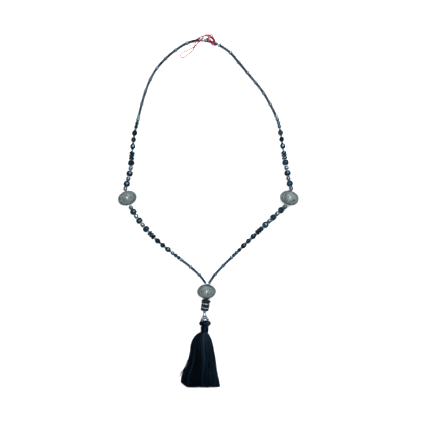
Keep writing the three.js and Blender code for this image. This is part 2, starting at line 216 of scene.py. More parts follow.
def ball(centre, radius, sides=8, rows=5):
    latitude = np.linspace(-1, 1, rows) * (0.5 - 0.5 / (rows + 1)) * math.pi
    angles = np.arange(sides) * FULL / sides
    points = np.stack(
        [
            np.outer(np.cos(latitude), np.cos(angles)),
            np.outer(np.cos(latitude), np.sin(angles)),
            np.outer(np.sin(latitude), np.ones(sides)),
        ],
        axis=-1,
    ).reshape(-1, 3)
    ends = np.vstack([np.arange(sides)[::-1], (rows - 1) * sides + np.arange(sides)])
    return np.asarray(centre) + radius * points, [grid(rows, sides), ends]


def turned(outline, sides, squeeze=1.0):
    """A closed outline of (radius, y) turned round the y axis, and squeezed along z."""
    radius, y = np.array(outline, float).T
    angles = np.arange(sides) * FULL / sides
    points = np.stack(
        [
            np.outer(radius, np.cos(angles)),
            np.outer(y, np.ones(sides)),
            squeeze * np.outer(radius, np.sin(angles)),
        ],
        axis=-1,
    ).reshape(-1, 3)
    return points, [grid(len(outline), sides, closed_rows=True)]


def cut(rows, sides, bore):
    """A cut glass bead with a hole: rows of (y, radius, turn in steps) corners joined by flat facets."""
    rows = [(rows[0][0], bore, rows[0][2]), *rows, (rows[-1][0], bore, rows[-1][2])]
    points = []
    for y, radius, turn in rows:
        for k in range(sides):
            angle = (k + turn) * FULL / sides
            points.append((radius * math.cos(angle), y, radius * math.sin(angle)))
    quads = []
    triangles = []
    for i, (row, following) in enumerate(zip(rows, rows[1:] + rows[:1])):
        start = i * sides
        after = (i + 1) % len(rows) * sides
        for k in range(sides):
            a, b = start + k, start + (k + 1) % sides
            c, d = after + k, after + (k + 1) % sides
            if row[2] == following[2]:
                quads.append((a, b, d, c))
            elif row[2] < following[2]:
                triangles += [(a, b, c), (b, d, c)]
            else:
                triangles += [(a, b, d), (a, d, c)]
    return np.array(points), [np.array(quads), np.array(triangles)]


def rounded(radius, length, fullness=0.6, bore=BORE, steps=12):
    """Outline of a bead with a hole. A fullness of 1 is an ellipse, and less is squarer."""
    angles = np.linspace(-math.pi / 2, math.pi / 2, steps + 1)
    y = length / 2 * np.sign(np.sin(angles)) * np.abs(np.sin(angles)) ** fullness
    reach = bore + (radius - bore) * np.maximum(np.cos(angles), 0) ** fullness
    return np.stack([reach, y], axis=1)


class Shape:
    """Solids gathered before they become one mesh. Every point has a tone, which its material reads."""

    def __init__(self):
        self.points = []
        self.tones = []
        self.faces = []
        self.count = 0

    def add(self, solid, tone=0.5, matrix=None):
        points, groups = solid
        groups = [faces for faces in groups if len(faces)]
        six_volumes = 0
        for faces in groups:
            for k in range(1, faces.shape[1] - 1):
                a, b, c = points[faces[:, 0]], points[faces[:, k]], points[faces[:, k + 1]]
                six_volumes += np.einsum("ij,ij->", a, np.cross(b, c))
        if six_volumes < 0:
            groups = [faces[:, ::-1] for faces in groups]
        if matrix is not None:
            points = points @ matrix[:3, :3].T + matrix[:3, 3]
        self.points.append(points)
        self.tones.append(np.broadcast_to(tone, len(points)))
        for faces in groups:
            self.faces.extend((faces + self.count).tolist())
        self.count += len(points)

    def mesh(self, name, matrix=None):
        made = bpy.data.meshes.new(name)
        points = np.vstack(self.points)
        if matrix is not None:
            points = points @ matrix[:3, :3].T + matrix[:3, 3]
        made.from_pydata(points * MM, [], self.faces)
        made.attributes.new("tone", "FLOAT", "POINT")
        made.attributes["tone"].data.foreach_set("value", np.concatenate(self.tones).astype(np.float32))
        made.shade_smooth()
        return made


def solid_shape(solid, tone=0.5):
    shape = Shape()
    shape.add(solid, tone)
    return shape


# ---- what the frame says ----
BODY_OF = {node: body for body, nodes in frame["record"]["behaviour"]["bodies"].items() for node in nodes}
JOINT_TO = {joint["child"]: joint for joint in frame["joints"]}
RING_SPREAD = 1.0  # the corners of one ring of a string lie closer together than this


def corners(node):
    """The different corners of a CAD node, in millimetres."""
    found = np.array([v.co for v in frame["nodes"][node].data.vertices], float) / MM
    return np.unique(np.round(found, 3), axis=0)


def turn_to(along):
    """Side, along and up as the columns of a rotation."""
    side = unit(np.cross(along, (0, 0, 1)))
    return np.stack([side, along, np.cross(side, along)], axis=1)


def placed(point, along):
    matrix = np.eye(4)
    matrix[:3, :3] = turn_to(unit(np.asarray(along, float)))
    matrix[:3, 3] = point
    return matrix


def spin_place(node):
    """Where a spinning bead's hole runs, from its joint."""
    joint = JOINT_TO[node]
    return placed(np.array(joint["pos_m"]) / MM, joint["axis"])


class Route:
    """The line of a CAD string, measured from the joint that its strand folds at."""

    def __init__(self, node):
        left = corners(node)
        centres = []
        while len(left):
            near = np.linalg.norm(left - left[0], axis=1) < RING_SPREAD
            centres.append(left[near].mean(axis=0))
            left = left[~near]
        centres = np.array(centres)
        here = np.array(JOINT_TO[BODY_OF[node]]["pos_m"]) / MM
        chain = []
        while len(centres):
            nearest = np.linalg.norm(centres - here, axis=1).argmin()
            here = centres[nearest]
            chain.append(here)
            centres = np.delete(centres, nearest, axis=0)
        self.line = smooth(chain, 0.2)
        self.distance = travelled(self.line)
        self.along = directions(self.line)

    def place(self, at):
        point = np.array([np.interp(at, self.distance, column) for column in self.line.T])
        past = min(at, 0) + max(at - self.distance[-1], 0)
        return point + past * self.along[0 if at < 0 else -1]

    def matrix(self, at):
        return placed(self.place(at), self.place(at + 0.2) - self.place(at - 0.2))

    def part(self, start, end, step):
        count = max(2, math.ceil((end - start) / step) + 1)
        return np.array([self.place(at) for at in np.linspace(start, end, count)])

    def span(self, node):
        """The distances at which a node begins and ends."""
        points = corners(node)
        nearest = np.array([np.linalg.norm(self.line - p, axis=1).argmin() for p in points])
        past = ((points - self.line[nearest]) * self.along[nearest]).sum(axis=1)
        at = self.distance[nearest] + past
        return at.min(), at.max()


# ---- materials ----
class Look:
    """A material: a Principled shader, with nodes for what varies over the surface."""

    def __init__(self, name, **constants):
        self.material = bpy.data.materials.new(name)
        self.material.use_nodes = True
        self.tree = self.material.node_tree
        self.shader = self.tree.nodes["Principled BSDF"]
        for socket, value in constants.items():
            self.shader.inputs[socket.replace("_", " ")].default_value = value

    def node(self, kind, inputs=(), output=0, **settings):
        made = self.tree.nodes.new(kind)
        for key, value in settings.items():
            setattr(made, key, value)
        for socket, value in dict(inputs).items():
            if isinstance(value, bpy.types.NodeSocket):
                self.tree.links.new(value, made.inputs[socket])
            else:
                made.inputs[socket].default_value = value
        return made.outputs[output]

    def tone(self):
        return self.node("ShaderNodeAttribute", output="Fac", attribute_name="tone")

    def noise(self, per_mm, detail=3.0, stretch=None):
        place = self.node("ShaderNodeTexCoord", output="Object")
        if stretch:
            place = self.node("ShaderNodeMapping", {"Vector": place, "Scale": stretch})
        inputs = {"Vector": place, "Scale": per_mm / MM, "Detail": detail, "Roughness": 0.6}
        return self.node("ShaderNodeTexNoise", inputs)

    def cells(self, per_mm):
        place = self.node("ShaderNodeTexCoord", output="Object")
        return self.node("ShaderNodeTexVoronoi", {"Vector": place, "Scale": per_mm / MM})

    def blend(self, a, b, share):
        """a where share is 0, and b where it is 1."""
        inputs = {0: share, 2: a, 3: b}
        return self.node("ShaderNodeMix", inputs, data_type="FLOAT")

    def ramp(self, value, stops):
        """Colours between stops of (place, (red, green, blue))."""
        made = self.tree.nodes.new("ShaderNodeValToRGB")
        elements = made.color_ramp.elements
        while len(elements) < len(stops):
            elements.new(0.5)
        for element, (place, colour) in zip(elements, stops):
            element.position = place
            element.color = (*colour, 1)
        self.tree.links.new(value, made.inputs[0])
        return made.outputs[0]

    def range(self, value, low, high):
        """The value, which is from 0 to 1, spread between low and high."""
        inputs = {"Value": value, "To Min": low, "To Max": high}
        return self.node("ShaderNodeMapRange", inputs)

    def bump(self, height, depth_mm, strength=1.0):
        inputs = {"Height": height, "Distance": depth_mm * MM, "Strength": strength}
        self.tree.links.new(self.node("ShaderNodeBump", inputs), self.shader.inputs["Normal"])

    def wire(self, socket, value):
        self.tree.links.new(value, self.shader.inputs[socket])


def glass_look(name, stops, roughness, metallic, coat):
    look = Look(name, Metallic=metallic, IOR=1.6, Coat_Weight=coat, Coat_Roughness=0.06)
    mottle = look.noise(0.55, 2.0)
    look.wire("Base Color", look.ramp(look.blend(look.tone(), mottle, 0.35), stops))
    look.wire("Roughness", look.range(look.noise(1.6), roughness[0], roughness[1]))
    look.bump(look.noise(0.9, 2.0), 0.03, 0.5)
    return look.material


def silver_look(name, stops, roughness, pits, patchy):
    """Cast silver: dark patina low in the relief, worn bright on top. tone says how high a point is."""
    look = Look(name, Metallic=0.92)
    wear = look.noise(0.5, 4.0)
    height = look.blend(look.tone(), wear, patchy)
    look.wire("Base Color", look.ramp(height, stops))
    look.wire("Roughness", look.range(height, roughness[1], roughness[0]))
    look.bump(look.blend(look.noise(3.0, 2.0), look.cells(2.2), 0.5), pits, 0.7)
    return look.material


def fibre_look(name, stops, roughness, gloss, sheen, along):
    """Spun thread: its fibres are fine streaks stretched along one axis."""
    weight, tint = sheen
    look = Look(
        name, Specular_IOR_Level=gloss, Sheen_Weight=weight, Sheen_Roughness=0.4, Sheen_Tint=(*tint, 1)
    )
    fibres = look.noise(3.5, 2.0, along)
    look.wire("Base Color", look.ramp(look.blend(look.tone(), fibres, 0.35), stops))
    look.wire("Roughness", look.range(fibres, roughness[0], roughness[1]))
    look.bump(fibres, 0.08, 0.6)
    return look.material


LOOKS = {
    "seed_glass": glass_look(
        "seed_glass",
        [(0.15, (0.003, 0.015, 0.031)), (0.5, (0.014, 0.044, 0.08)), (0.85, (0.056, 0.125, 0.19))],
        (0.16, 0.34), 0.75, 0.2,
    ),
    "spacer_glass": glass_look(
        "spacer_glass",
        [(0.1, (0.06, 0.09, 0.115)), (0.5, (0.27, 0.35, 0.42)), (0.85, (0.55, 0.66, 0.74))],
        (0.12, 0.26), 0.9, 0.2,
    ),
    "dark_glass": glass_look(
        "dark_glass",
        [(0.15, (0.002, 0.011, 0.024)), (0.5, (0.01, 0.039, 0.068)), (0.85, (0.045, 0.12, 0.175))],
        (0.08, 0.18), 0.8, 0.35,
    ),
    "black_glass": glass_look(
        "black_glass",
        [(0.2, (0.001, 0.004, 0.008)), (0.6, (0.003, 0.01, 0.018)), (0.9, (0.008, 0.024, 0.038))],
        (0.12, 0.24), 0.3, 0.25,
    ),
    "bright_silver": silver_look(
        "bright_silver",
        [(0.2, (0.05, 0.08, 0.1)), (0.5, (0.23, 0.31, 0.37)), (0.8, (0.6, 0.7, 0.77))],
        (0.16, 0.36), 0.03, 0.28,
    ),
    "antique_silver": silver_look(
        "antique_silver",
        [(0.2, (0.015, 0.026, 0.033)), (0.5, (0.155, 0.21, 0.23)), (0.77, (0.68, 0.76, 0.75))],
        (0.28, 0.55), 0.07, 0.42,
    ),
    "silk": fibre_look(
        "silk",
        [
            (0.15, (0.0001, 0.0003, 0.0008)), (0.38, (0.0005, 0.0016, 0.0034)),
            (0.6, (0.004, 0.012, 0.022)), (0.9, (0.02, 0.056, 0.084)),
        ],
        (0.35, 0.55), 0.06, (0.012, (0.1, 0.45, 0.75)), (1, 0.1, 1),
    ),
    "cord": fibre_look(
        "cord",
        [(0.2, (0.004, 0.006, 0.008)), (0.8, (0.014, 0.018, 0.022))],
        (0.6, 0.85), 0.2, (0.05, (0.6, 0.7, 0.8)), (1, 1, 1),
    ),
    "red_thread": fibre_look(
        "red_thread",
        [(0.2, (0.1, 0.002, 0.012)), (0.5, (0.19, 0.004, 0.019)), (0.85, (0.3, 0.012, 0.036))],
        (0.6, 0.85), 0.2, (0.04, (1, 0.4, 0.5)), (1, 1, 1),
    ),
}
SLOTS = {"spacer_glass": "seed_glass"}


# ---- making pieces ----
def piece(name, shape, look, node, matrix=None, bevel=0.0):
    """One piece of the object, which stands for a CAD node and moves with it."""
    mesh = shape.mesh(name, matrix)
    if bevel:
        soften(mesh, bevel)
    mesh.materials.append(LOOKS[look])
    made = bpy.data.objects.new(name, mesh)
    bpy.context.scene.collection.objects.link(made)
    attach(made, BODY_OF[node])
    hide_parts(node)
    SLOTS.get(look, look)
    return made


def soften(mesh, width):
    """Rounds the edges between facets."""
    work = bmesh.new()
    work.from_mesh(mesh)
    edges = [edge for edge in work.edges if edge.calc_face_angle(0) > math.radians(8)]
    bmesh.ops.bevel(work, geom=edges, offset=width * MM, segments=2, profile=0.6, affect="EDGES")
    work.to_mesh(mesh)
    work.free()
    mesh.shade_flat()


def wobble(matrix, degrees):
    """The place again, turned any way round its hole and tilted a little."""
    tilt = random.normal(0, math.radians(degrees), 2)
    turn = Matrix.Rotation(tilt[0], 4, "X") @ Matrix.Rotation(tilt[1], 4, "Z")
    turn = turn @ Matrix.Rotation(random.uniform(0, FULL), 4, "Y")
    return matrix @ np.array(turn)


# ---- red thread ----
THREAD_TURN = 2.8  # how far along the thread its plies go once round each other


def red_thread():
    route = smooth(THREAD_ROUTE, 0.3)
    shape = Shape()
    for k, ply in enumerate(plies(route, THREAD_RADIUS, THREAD_TURN, 3, 6, carried_up(route))):
        shape.add(ply, 0.3 + 0.2 * k)
    made = piece("red_thread_twist", shape, "red_thread", "red_thread")
    fray = Shape()
    for points in FRAYED:
        line = smooth(points, 0.3)
        fray.add(tube(line, np.linspace(0.18, 0.1, len(line)), 5), 0.85)
    loose = piece("red_thread_loose_fibres", fray, "red_thread", "red_thread")
    round(travelled(route)[-1] * MM, 4)


# Fibres that have come loose from the thread outside the strand
FRAYED = [
    [
        (-0.9, 188.8, 1.2), (1.3, 189.7, 0.8), (3.3, 189.6, 0.5), (4.8, 188.4, 0.4), (5.3, 186.4, 0.5),
        (5.9, 184.6, 0.8),
    ],
    [(0.3, 188.4, 1.2), (2.4, 188.9, 1), (4.1, 188.1, 0.7), (5, 186.6, 0.6), (5.8, 184.9, 0.9)],
    [(1.8, 187.9, 1.2), (3.3, 189, 0.8), (4.5, 189, 0.5), (5.4, 188, 0.3)],
    [(4.9, 185.7, 1.1), (6.2, 186.3, 0.8), (6.9, 187.1, 0.3)],
]


red_thread()


# ---- beads on the strands ----
SEED_FULLNESS = 0.55


def seed(pitch, radius):
    return turned(rounded(radius, pitch * 0.98, SEED_FULLNESS), 14)


def spacer():
    return turned(rounded(SPACER["radius"], SPACER["length"], SEED_FULLNESS), 20)


def cut_glass(kind, radius, length):
    """A glass bead with two belts of kite-like facets on each side of its girdle."""
    shape = CUTS[kind]
    half = length / 2
    height, reach = shape["shoulder"]
    belts = [(1, shape["tip"], 0), (height, reach, 0.5), (shape["girdle"], 1, 0)]
    rows = [(-share * half, size * radius, turn) for share, size, turn in belts]
    rows += [(share * half, size * radius, turn) for share, size, turn in reversed(belts)]
    return cut(rows, shape["sides"], shape["bore"])


def silver_bead():
    """A cast bead with a rope round each end of its hole and twelve shallow flutes."""
    half = SILVER["length"] / 2
    outline = rounded(SILVER["radius"] - 0.03, SILVER["length"] - 0.3, 0.92, 0.8, 18)
    sides = 60
    points, faces = turned(outline, sides)
    angles = np.arctan2(points[:, 2], points[:, 0])
    flute = 1 - 0.035 * np.abs(np.sin(6 * angles)) ** 0.5 * np.clip(1 - (points[:, 1] / half) ** 2, 0, 1)
    points[:, [0, 2]] *= flute[:, None]
    shape = solid_shape((points, faces), 0.25 + 0.4 * tone())
    angle = np.arange(40) * FULL / 40
    for y in (-half + 0.26, half - 0.26):
        ring = np.stack([1.05 * np.cos(angle), np.full(40, y), 1.05 * np.sin(angle)], axis=1)
        for ply in plies(ring, 0.26, 1.1, 2, 5, (0, 1, 0), True):
            shape.add(ply, 0.7)
    return shape


def tone():
    return float(np.clip(random.normal(0.5, 0.2), 0.05, 0.95))


def strung(route, node, items):
    """The middle of each (kind, length) item where the items share out a node's length."""
    start, end = route.span(node)
    scale = (end - start) / sum(length for _, length in items)
    at = start
    for kind, length in items:
        yield kind, at + length * scale / 2, length * scale
        at += length * scale


def seed_runs(route, node, name, kinds):
    """Runs of seeds, one piece a run, and a spacer after each."""
    items = [(kind, SPACER["length"] if kind == "spacer" else SEED["pitch"]) for kind in kinds]
    seeds = Shape()
    in_run = 0
    runs = 0
    spacers = 0
    for kind, at, length in strung(route, node, items):
        if kind == "spacer":
            spacers += 1
            matrix = wobble(route.matrix(at), 2.5)
            shape = solid_shape(spacer(), tone())
            piece(f"{name}_spacer_{spacers}", shape, "spacer_glass", node, matrix)
            continue
        radius = SEED["radius"] * random.uniform(0.95, 1.03)
        seeds.add(seed(length, radius), tone(), wobble(route.matrix(at), 3))
        in_run += 1
        if in_run == SEEDS_IN_RUN:
            runs += 1
            piece(f"{name}_seeds_{runs}", seeds, "seed_glass", node)
            seeds = Shape()
            in_run = 0


def small_groups(route, prefix):
    """Three round beads, three bicones and three rondelles, with tiny pale beads between."""
    for k, (_, at, length) in enumerate(strung(route, f"{prefix}_round_beads", [("round", 1)] * 3)):
        solid = cut_glass("round", ROUND["radius"], length * 0.97)
        matrix = wobble(route.matrix(at), 2)
        name = f"{prefix}_round_bead_{k + 1}"
        piece(name, solid_shape(solid, tone()), "dark_glass", f"{prefix}_round_beads", matrix, 0.07)
    between = ("pale", PALE["length"])
    bicones = [between, ("bicone", BICONE["length"])] * 3 + [between]
    flat = [("rondelle", RONDELLE["length"])] * 3
    for group, items in (("bicones", bicones), ("rondelles", [*flat, between])):
        node = f"{prefix}_{group}"
        counts = {}
        for kind, at, length in strung(route, node, items):
            counts[kind] = counts.get(kind, 0) + 1
            matrix = wobble(route.matrix(at), 2)
            if kind == "pale":
                solid = turned(rounded(PALE["radius"], length, 0.8), 14)
                look, bevel = "spacer_glass", 0
            elif kind == "bicone":
                size = 0.93 if counts[kind] == 2 else 1.0
                solid = cut_glass("bicone", BICONE["radius"] * size, length * size)
                look, bevel = "dark_glass", 0.08
            else:
                solid = cut_glass("rondelle", RONDELLE["radius"], length * 0.98)
                look, bevel = "dark_glass", 0.08
            name = f"{prefix}_{group[:-1]}_{kind}_{counts[kind]}"
            # painted shade: the tiny pale beads, which sit between larger beads, get only 0.15 of a tone
            tone_with_painted_shade = tone() * (0.15 if kind == "pale" else 1)
            piece(name, solid_shape(solid, tone_with_painted_shade), look, node, matrix, bevel)


def large_beads(prefix):
    for k in (1, 2, 3):
        node = f"{prefix}_dark_bead_{k}"
        matrix = wobble(spin_place(node), 0)
        solid = cut_glass("dark", DARK["radius"], DARK["length"])
        piece(node + "_glass", solid_shape(solid, tone()), "dark_glass", node, matrix, 0.1)
        node = f"{prefix}_silver_bead_{k}"
        piece(node + "_cast", silver_bead(), "bright_silver", node, wobble(spin_place(node), 0))


def string_piece(route, node, start, end):
    shape = Shape()
    line = route.part(start, end, 0.45)
    for k, ply in enumerate(plies(line, STRING_RADIUS, 1.6, 3, 5, carried_up(line))):
        shape.add(ply, 0.3 + 0.2 * k)
    piece(node + "_twist", shape, "cord", node)


def strand(prefix, kinds, past=0):
    """One strand. Its string goes on past its end by a given length."""
    node = f"{prefix}_string"
    route = Route(node)
    string_piece(route, node, -0.6 if "lower" in prefix else 0, route.distance[-1] + past)
    seed_runs(route, f"{prefix}_seed_runs", prefix, kinds)
    small_groups(route, prefix)
    large_beads(prefix)
    return route


RUN = ["seed"] * SEEDS_IN_RUN
strand("left_lower", [*RUN, "spacer"] * 3)
strand("right_lower", [*RUN, "spacer"] * 3)
left_route = strand("left_upper", ["spacer"] + [*RUN, "spacer"] * 8)
strand("right_upper", ["spacer"] + [*RUN, "spacer"] * 7, 1.5)
seed_runs(left_route, "top_seed_run", "top", ["spacer", *RUN])


def closure_bead():
    start, end = left_route.span("closure_bead")
    solid = turned(rounded(1.7, end - start, 0.9), 18)
    matrix = left_route.matrix((start + end) / 2)
    piece("closure_bead_cast", solid_shape(solid, 0.7), "bright_silver", "closure_bead", matrix)


closure_bead()


# ---- silver beads with granulation and twisted wire ----
class Ornament:
    """A solid turned round its y axis and squeezed along z, with wires and grains soldered to it."""

    def __init__(self, outline, squeeze=1.0):
        self.radii, self.heights = np.array(outline, float).T
        self.squeeze = squeeze
        self.shape = Shape()

    def radius(self, y):
        return np.interp(y, self.heights, self.radii)

    def facing(self, points):
        """Directions straight out of the surface."""
        x, y, z = points.T
        reach = 0.15
        slope = (self.radius(y + reach) - self.radius(y - reach)) / (2 * reach)
        return unit(np.stack([x, -self.radius(y) * slope, z / self.squeeze**2], axis=1))

    def on_face(self, x, y, side):
        """Points of the surface straight above (side 1) or below (side -1) the hole."""
        z = self.squeeze * np.sqrt(np.maximum(self.radius(y) ** 2 - x**2, 0.01))
        return np.stack([x, y, side * z], axis=1)

    def on_round(self, angle, y):
        angle, y = np.broadcast_arrays(np.asarray(angle, float), np.asarray(y, float))
        radius = self.radius(y)
        return np.stack([radius * np.cos(angle), y, self.squeeze * radius * np.sin(angle)], axis=1)

    def wire(self, path, radius):
        out = self.facing(path)
        self.shape.add(tube(path + 0.5 * radius * out, radius, 6, out), 0.75)

    def rope(self, path, radius, closed=True, tone=0.7):
        if closed:
            path = even(np.vstack([path, path[:1]]), radius)[:-1]
        else:
            path = even(path, radius)
        out = self.facing(path)
        for ply in plies(path + 0.6 * radius * out, radius, 5.5 * radius, 2, 5, out, closed):
            self.shape.add(ply, tone)

    def grains(self, points, radius, tone=0.9):
        for point, out in zip(points, self.facing(points)):
            self.shape.add(ball(point + 0.45 * radius * out, radius), tone)

    def skin(self, bore, sides=96, tone=0.22):
        outer = list(zip(self.radii, self.heights))
        hole = [(bore, self.heights[-1]), (bore, self.heights[0])]
        self.shape.add(turned(outer + hole, sides, self.squeeze), tone)


def loop(count):
    return np.arange(count) * FULL / count


def spiral(radius, turns, start, hand, points=22):
    """A scroll that winds in to its centre, as x and y."""
    share = np.linspace(0, 1, points)
    angle = start + hand * FULL * turns * share
    reach = radius * (1 - 0.78 * share)
    return reach * np.cos(angle), reach * np.sin(angle)


def rosette(thing, width, height, middle, side):
    """Rings of grains, rope and scrolls round a boss, on the face above or below the hole."""

    def ring(share, count, turn=0.0):
        angle = loop(count) + turn
        return thing.on_face(share * width * np.cos(angle), middle + share * height * np.sin(angle), side)

    boss = 2.0
    centre = thing.on_face(np.zeros(1), np.full(1, float(middle)), side)[0]
    thing.shape.add(ball(centre - (0, 0, side * 0.8 * boss), boss, 24, 15), 1.0)
    thing.rope(ring(0.2, 60), 0.24)
    thing.grains(ring(0.27, 18), 0.36, 0.95)
    thing.rope(ring(0.36, 120), 0.26)
    for k, angle in enumerate(loop(12)):
        hand = 1 if k % 2 else -1
        x, y = spiral(0.95, 1.4, angle + math.pi / 2 * hand, hand)
        x = x + 0.49 * width * np.cos(angle)
        y = 0.8 * y + middle + 0.49 * height * np.sin(angle)
        thing.wire(thing.on_face(x, y, side), 0.2)
        thing.grains(thing.on_face(x[-1:], y[-1:], side), 0.3)
    thing.grains(ring(0.49, 12, math.pi / 12), 0.3, 0.8)
    thing.rope(ring(0.62, 160), 0.28)
    thing.grains(ring(0.69, 44), 0.34)
    thing.rope(ring(0.76, 170), 0.26)
    thing.grains(ring(0.83, 60), 0.28, 0.75)
    thing.rope(ring(0.9, 180), 0.26)


def side_bands(thing, low, high):
    """Twisted wires and grains along the two edges, from one end of the hole to the other."""
    y = np.linspace(low, high, 60)
    beads = np.linspace(low + 0.4, high - 0.4, 20)
    for edge in (0, math.pi):
        for offset in (-0.5, -0.3, -0.1, 0.1, 0.3, 0.5):
            thing.rope(thing.on_round(edge + offset, y), 0.22, closed=False, tone=0.6)
        for offset in (-0.4, -0.2, 0, 0.2, 0.4):
            thing.grains(thing.on_round(edge + offset, beads), 0.32, 0.75)


def collar(thing, y, radius):
    thing.rope(thing.on_round(loop(90), y), radius, tone=0.5)


def ground_grains(thing, width, height, middle, low, high):
    """Rows of grains on the ground that a face rosette and the side bands leave free."""
    for y in np.arange(low, high, 0.66):
        radius = thing.radius(y)
        angles = loop(int(FULL * radius / 0.74))
        outside = (radius * np.cos(angles) / width) ** 2 + ((y - middle) / height) ** 2 > 0.93**2
        off_bands = np.abs(np.sin(angles)) > math.sin(0.56)
        thing.grains(thing.on_round(angles[outside & off_bands], y), 0.3, 0.66)


MEDALLION = {"radius": 10, "length": 14.8, "mouth": 2.1, "squeeze": 0.8, "bore": 0.9}


def medallion(side):
    node = f"{side}_medallion_bead"
    tip = math.acos(MEDALLION["mouth"] / MEDALLION["radius"])
    angles = np.linspace(-tip, tip, 45)
    radii = (MEDALLION["radius"] - RELIEF) * np.cos(angles)
    heights = (MEDALLION["length"] / 2) * np.sin(angles) / math.sin(tip)
    thing = Ornament(np.stack([radii, heights], axis=1), MEDALLION["squeeze"])
    thing.skin(MEDALLION["bore"])
    for face in (1, -1):
        rosette(thing, 9.2, 6.6, 0, face)
    side_bands(thing, -6.2, 6.2)
    ground_grains(thing, 9.2, 6.6, 0, -6.6, 6.7)
    for y in (-7.1, 7.1):
        collar(thing, y, 0.22)
    piece(f"{node}_cast", thing.shape, "antique_silver", node, spin_place(node))


medallion("left")
medallion("right")

GURU_OUTLINE = [
    [2.4, -8], [3.2, -7.4], [4.6, -6.3], [6.6, -4.9], [8.6, -3.3], [9.6, -1.5], [9.95, 0.2], [9.7, 1.9],
    [8.9, 3.7], [7.4, 5.5], [5.3, 7], [2.4, 8],
]


def guru_bead():
    low, high = (np.array(corner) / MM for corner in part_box("guru_bead"))
    outline = smooth([[radius, y, 0] for radius, y in GURU_OUTLINE], 0.3)[:, :2]
    outline[:, 0] = np.maximum(outline[:, 0] - RELIEF, 1.6)
    thing = Ornament(outline, 0.8)
    thing.skin(1.0)
    for face in (1, -1):
        rosette(thing, 9, 6.1, 0.4, face)
    side_bands(thing, -5.6, 6.4)
    ground_grains(thing, 9, 6.1, 0.4, -6.3, 7)
    for y in (-7.5, 7.45):
        collar(thing, y, 0.22)
    matrix = np.eye(4)
    matrix[:3, 3] = (low + high) / 2
    piece("guru_bead_cast", thing.shape, "antique_silver", "guru_bead", matrix)


guru_bead()


def guru_string():
    """The string parts into the two strands above the guru bead, and goes down to the discs below it."""
    low, high = (np.array(corner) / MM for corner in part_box("guru_string"))
    x, _, z = (low + high) / 2
    y = np.linspace(low[1], high[1], 60)
    line = np.stack([np.full(60, x), y, np.full(60, z)], axis=1)
    shape = Shape()
    for k, ply in enumerate(plies(line, 0.55, 2.4, 4, 5)):
        shape.add(ply, 0.3 + 0.15 * k)
    for body in ("left_lower_strand", "right_lower_strand", "pendant"):
        end = np.array(JOINT_TO[body]["pos_m"]) / MM
        leave = (x, high[1] - 1 if end[1] > high[1] else low[1] + 1, z)
        branch = even(np.array([leave, end]), 0.4)
        for k, ply in enumerate(plies(branch, STRING_RADIUS, 1.6, 2, 5)):
            shape.add(ply, 0.3 + 0.2 * k)
    piece("guru_string_twist", shape, "cord", "guru_string")


guru_string()


# ---- pendant ----
def pendant():
    for k, radius in enumerate(DISC_RADII):
        node = f"black_disc_{k + 1}"
        solid = turned(rounded(radius, DISC_LENGTH, 0.42, 0.8, 16), 48)
        piece(node + "_glass", solid_shape(solid, 0.3 + 0.2 * k), "black_glass", node, spin_place(node))
    for k in (1, 2):
        node = f"silver_ring_{k}"
        shape = solid_shape(turned(rounded(RING["radius"], RING["length"], 0.45, 0.8, 8), 48), 1)
        reach = RING["radius"] - 0.1
        for angle in loop(RING["grains"]):
            shape.add(ball((reach * math.cos(angle), 0, reach * math.sin(angle)), RING["grain_radius"]), 1)
        shape.add(turned(rounded(RING["hub_radius"], RING["hub_length"], 0.3, 0.8, 8), 32), 0.3)
        piece(node + "_cast", shape, "bright_silver", node, spin_place(node))
    route = Route("pendant_string")
    string_piece(route, "pendant_string", 0, route.distance[-1])


pendant()

CAP_OUTLINE = [
    [1.05, 0], [1.5, 0.35], [1.57, 0.95], [1.5, 1.45], [1.1, 1.9], [1.3, 2.5], [1.6, 3.4], [2.0, 4.6],
    [2.65, 5.9], [3.35, 7.1], [3.95, 8.2], [4.25, 9.1], [4.3, 10],
]


def cone_cap():
    """A bell-shaped cap with a bead for its knob, scrolls on its lower half and a beaded rim."""
    outline = smooth([[radius, y, 0] for radius, y in CAP_OUTLINE], 0.2)[:, :2]
    thing = Ornament(outline)
    wall = 0.5
    outer = [(radius, y) for radius, y in outline]
    inner = [(radius - wall, y) for radius, y in outline[::-3] if y > 3.6] + [(0.7, 3.4), (0.7, 0)]
    thing.shape.add(turned(outer + inner, 48), 0.82)
    thing.grains(thing.on_round(loop(24), 9.7), 0.36)
    thing.rope(thing.on_round(loop(100), 9.05), 0.24)
    thing.rope(thing.on_round(loop(80), 5.3), 0.2)
    thing.rope(thing.on_round(loop(50), 2.0), 0.2)
    for k, angle in enumerate(loop(7)):
        hand = 1 if k % 2 else -1
        across, down = spiral(1.05, 1.3, math.pi / 2 * hand, hand, 18)
        y = 7.5 + down
        thing.wire(thing.on_round(angle + across / thing.radius(y), y), 0.2)
        thing.grains(thing.on_round(angle + across[-1:] / thing.radius(y[-1:]), y[-1:]), 0.34)
        thing.wire(thing.on_round(angle + math.pi / 7, np.linspace(5.6, 8.8, 12)), 0.16)
    piece("cone_cap_cast", thing.shape, "bright_silver", "cone_cap", spin_place("cone_cap"))


cone_cap()


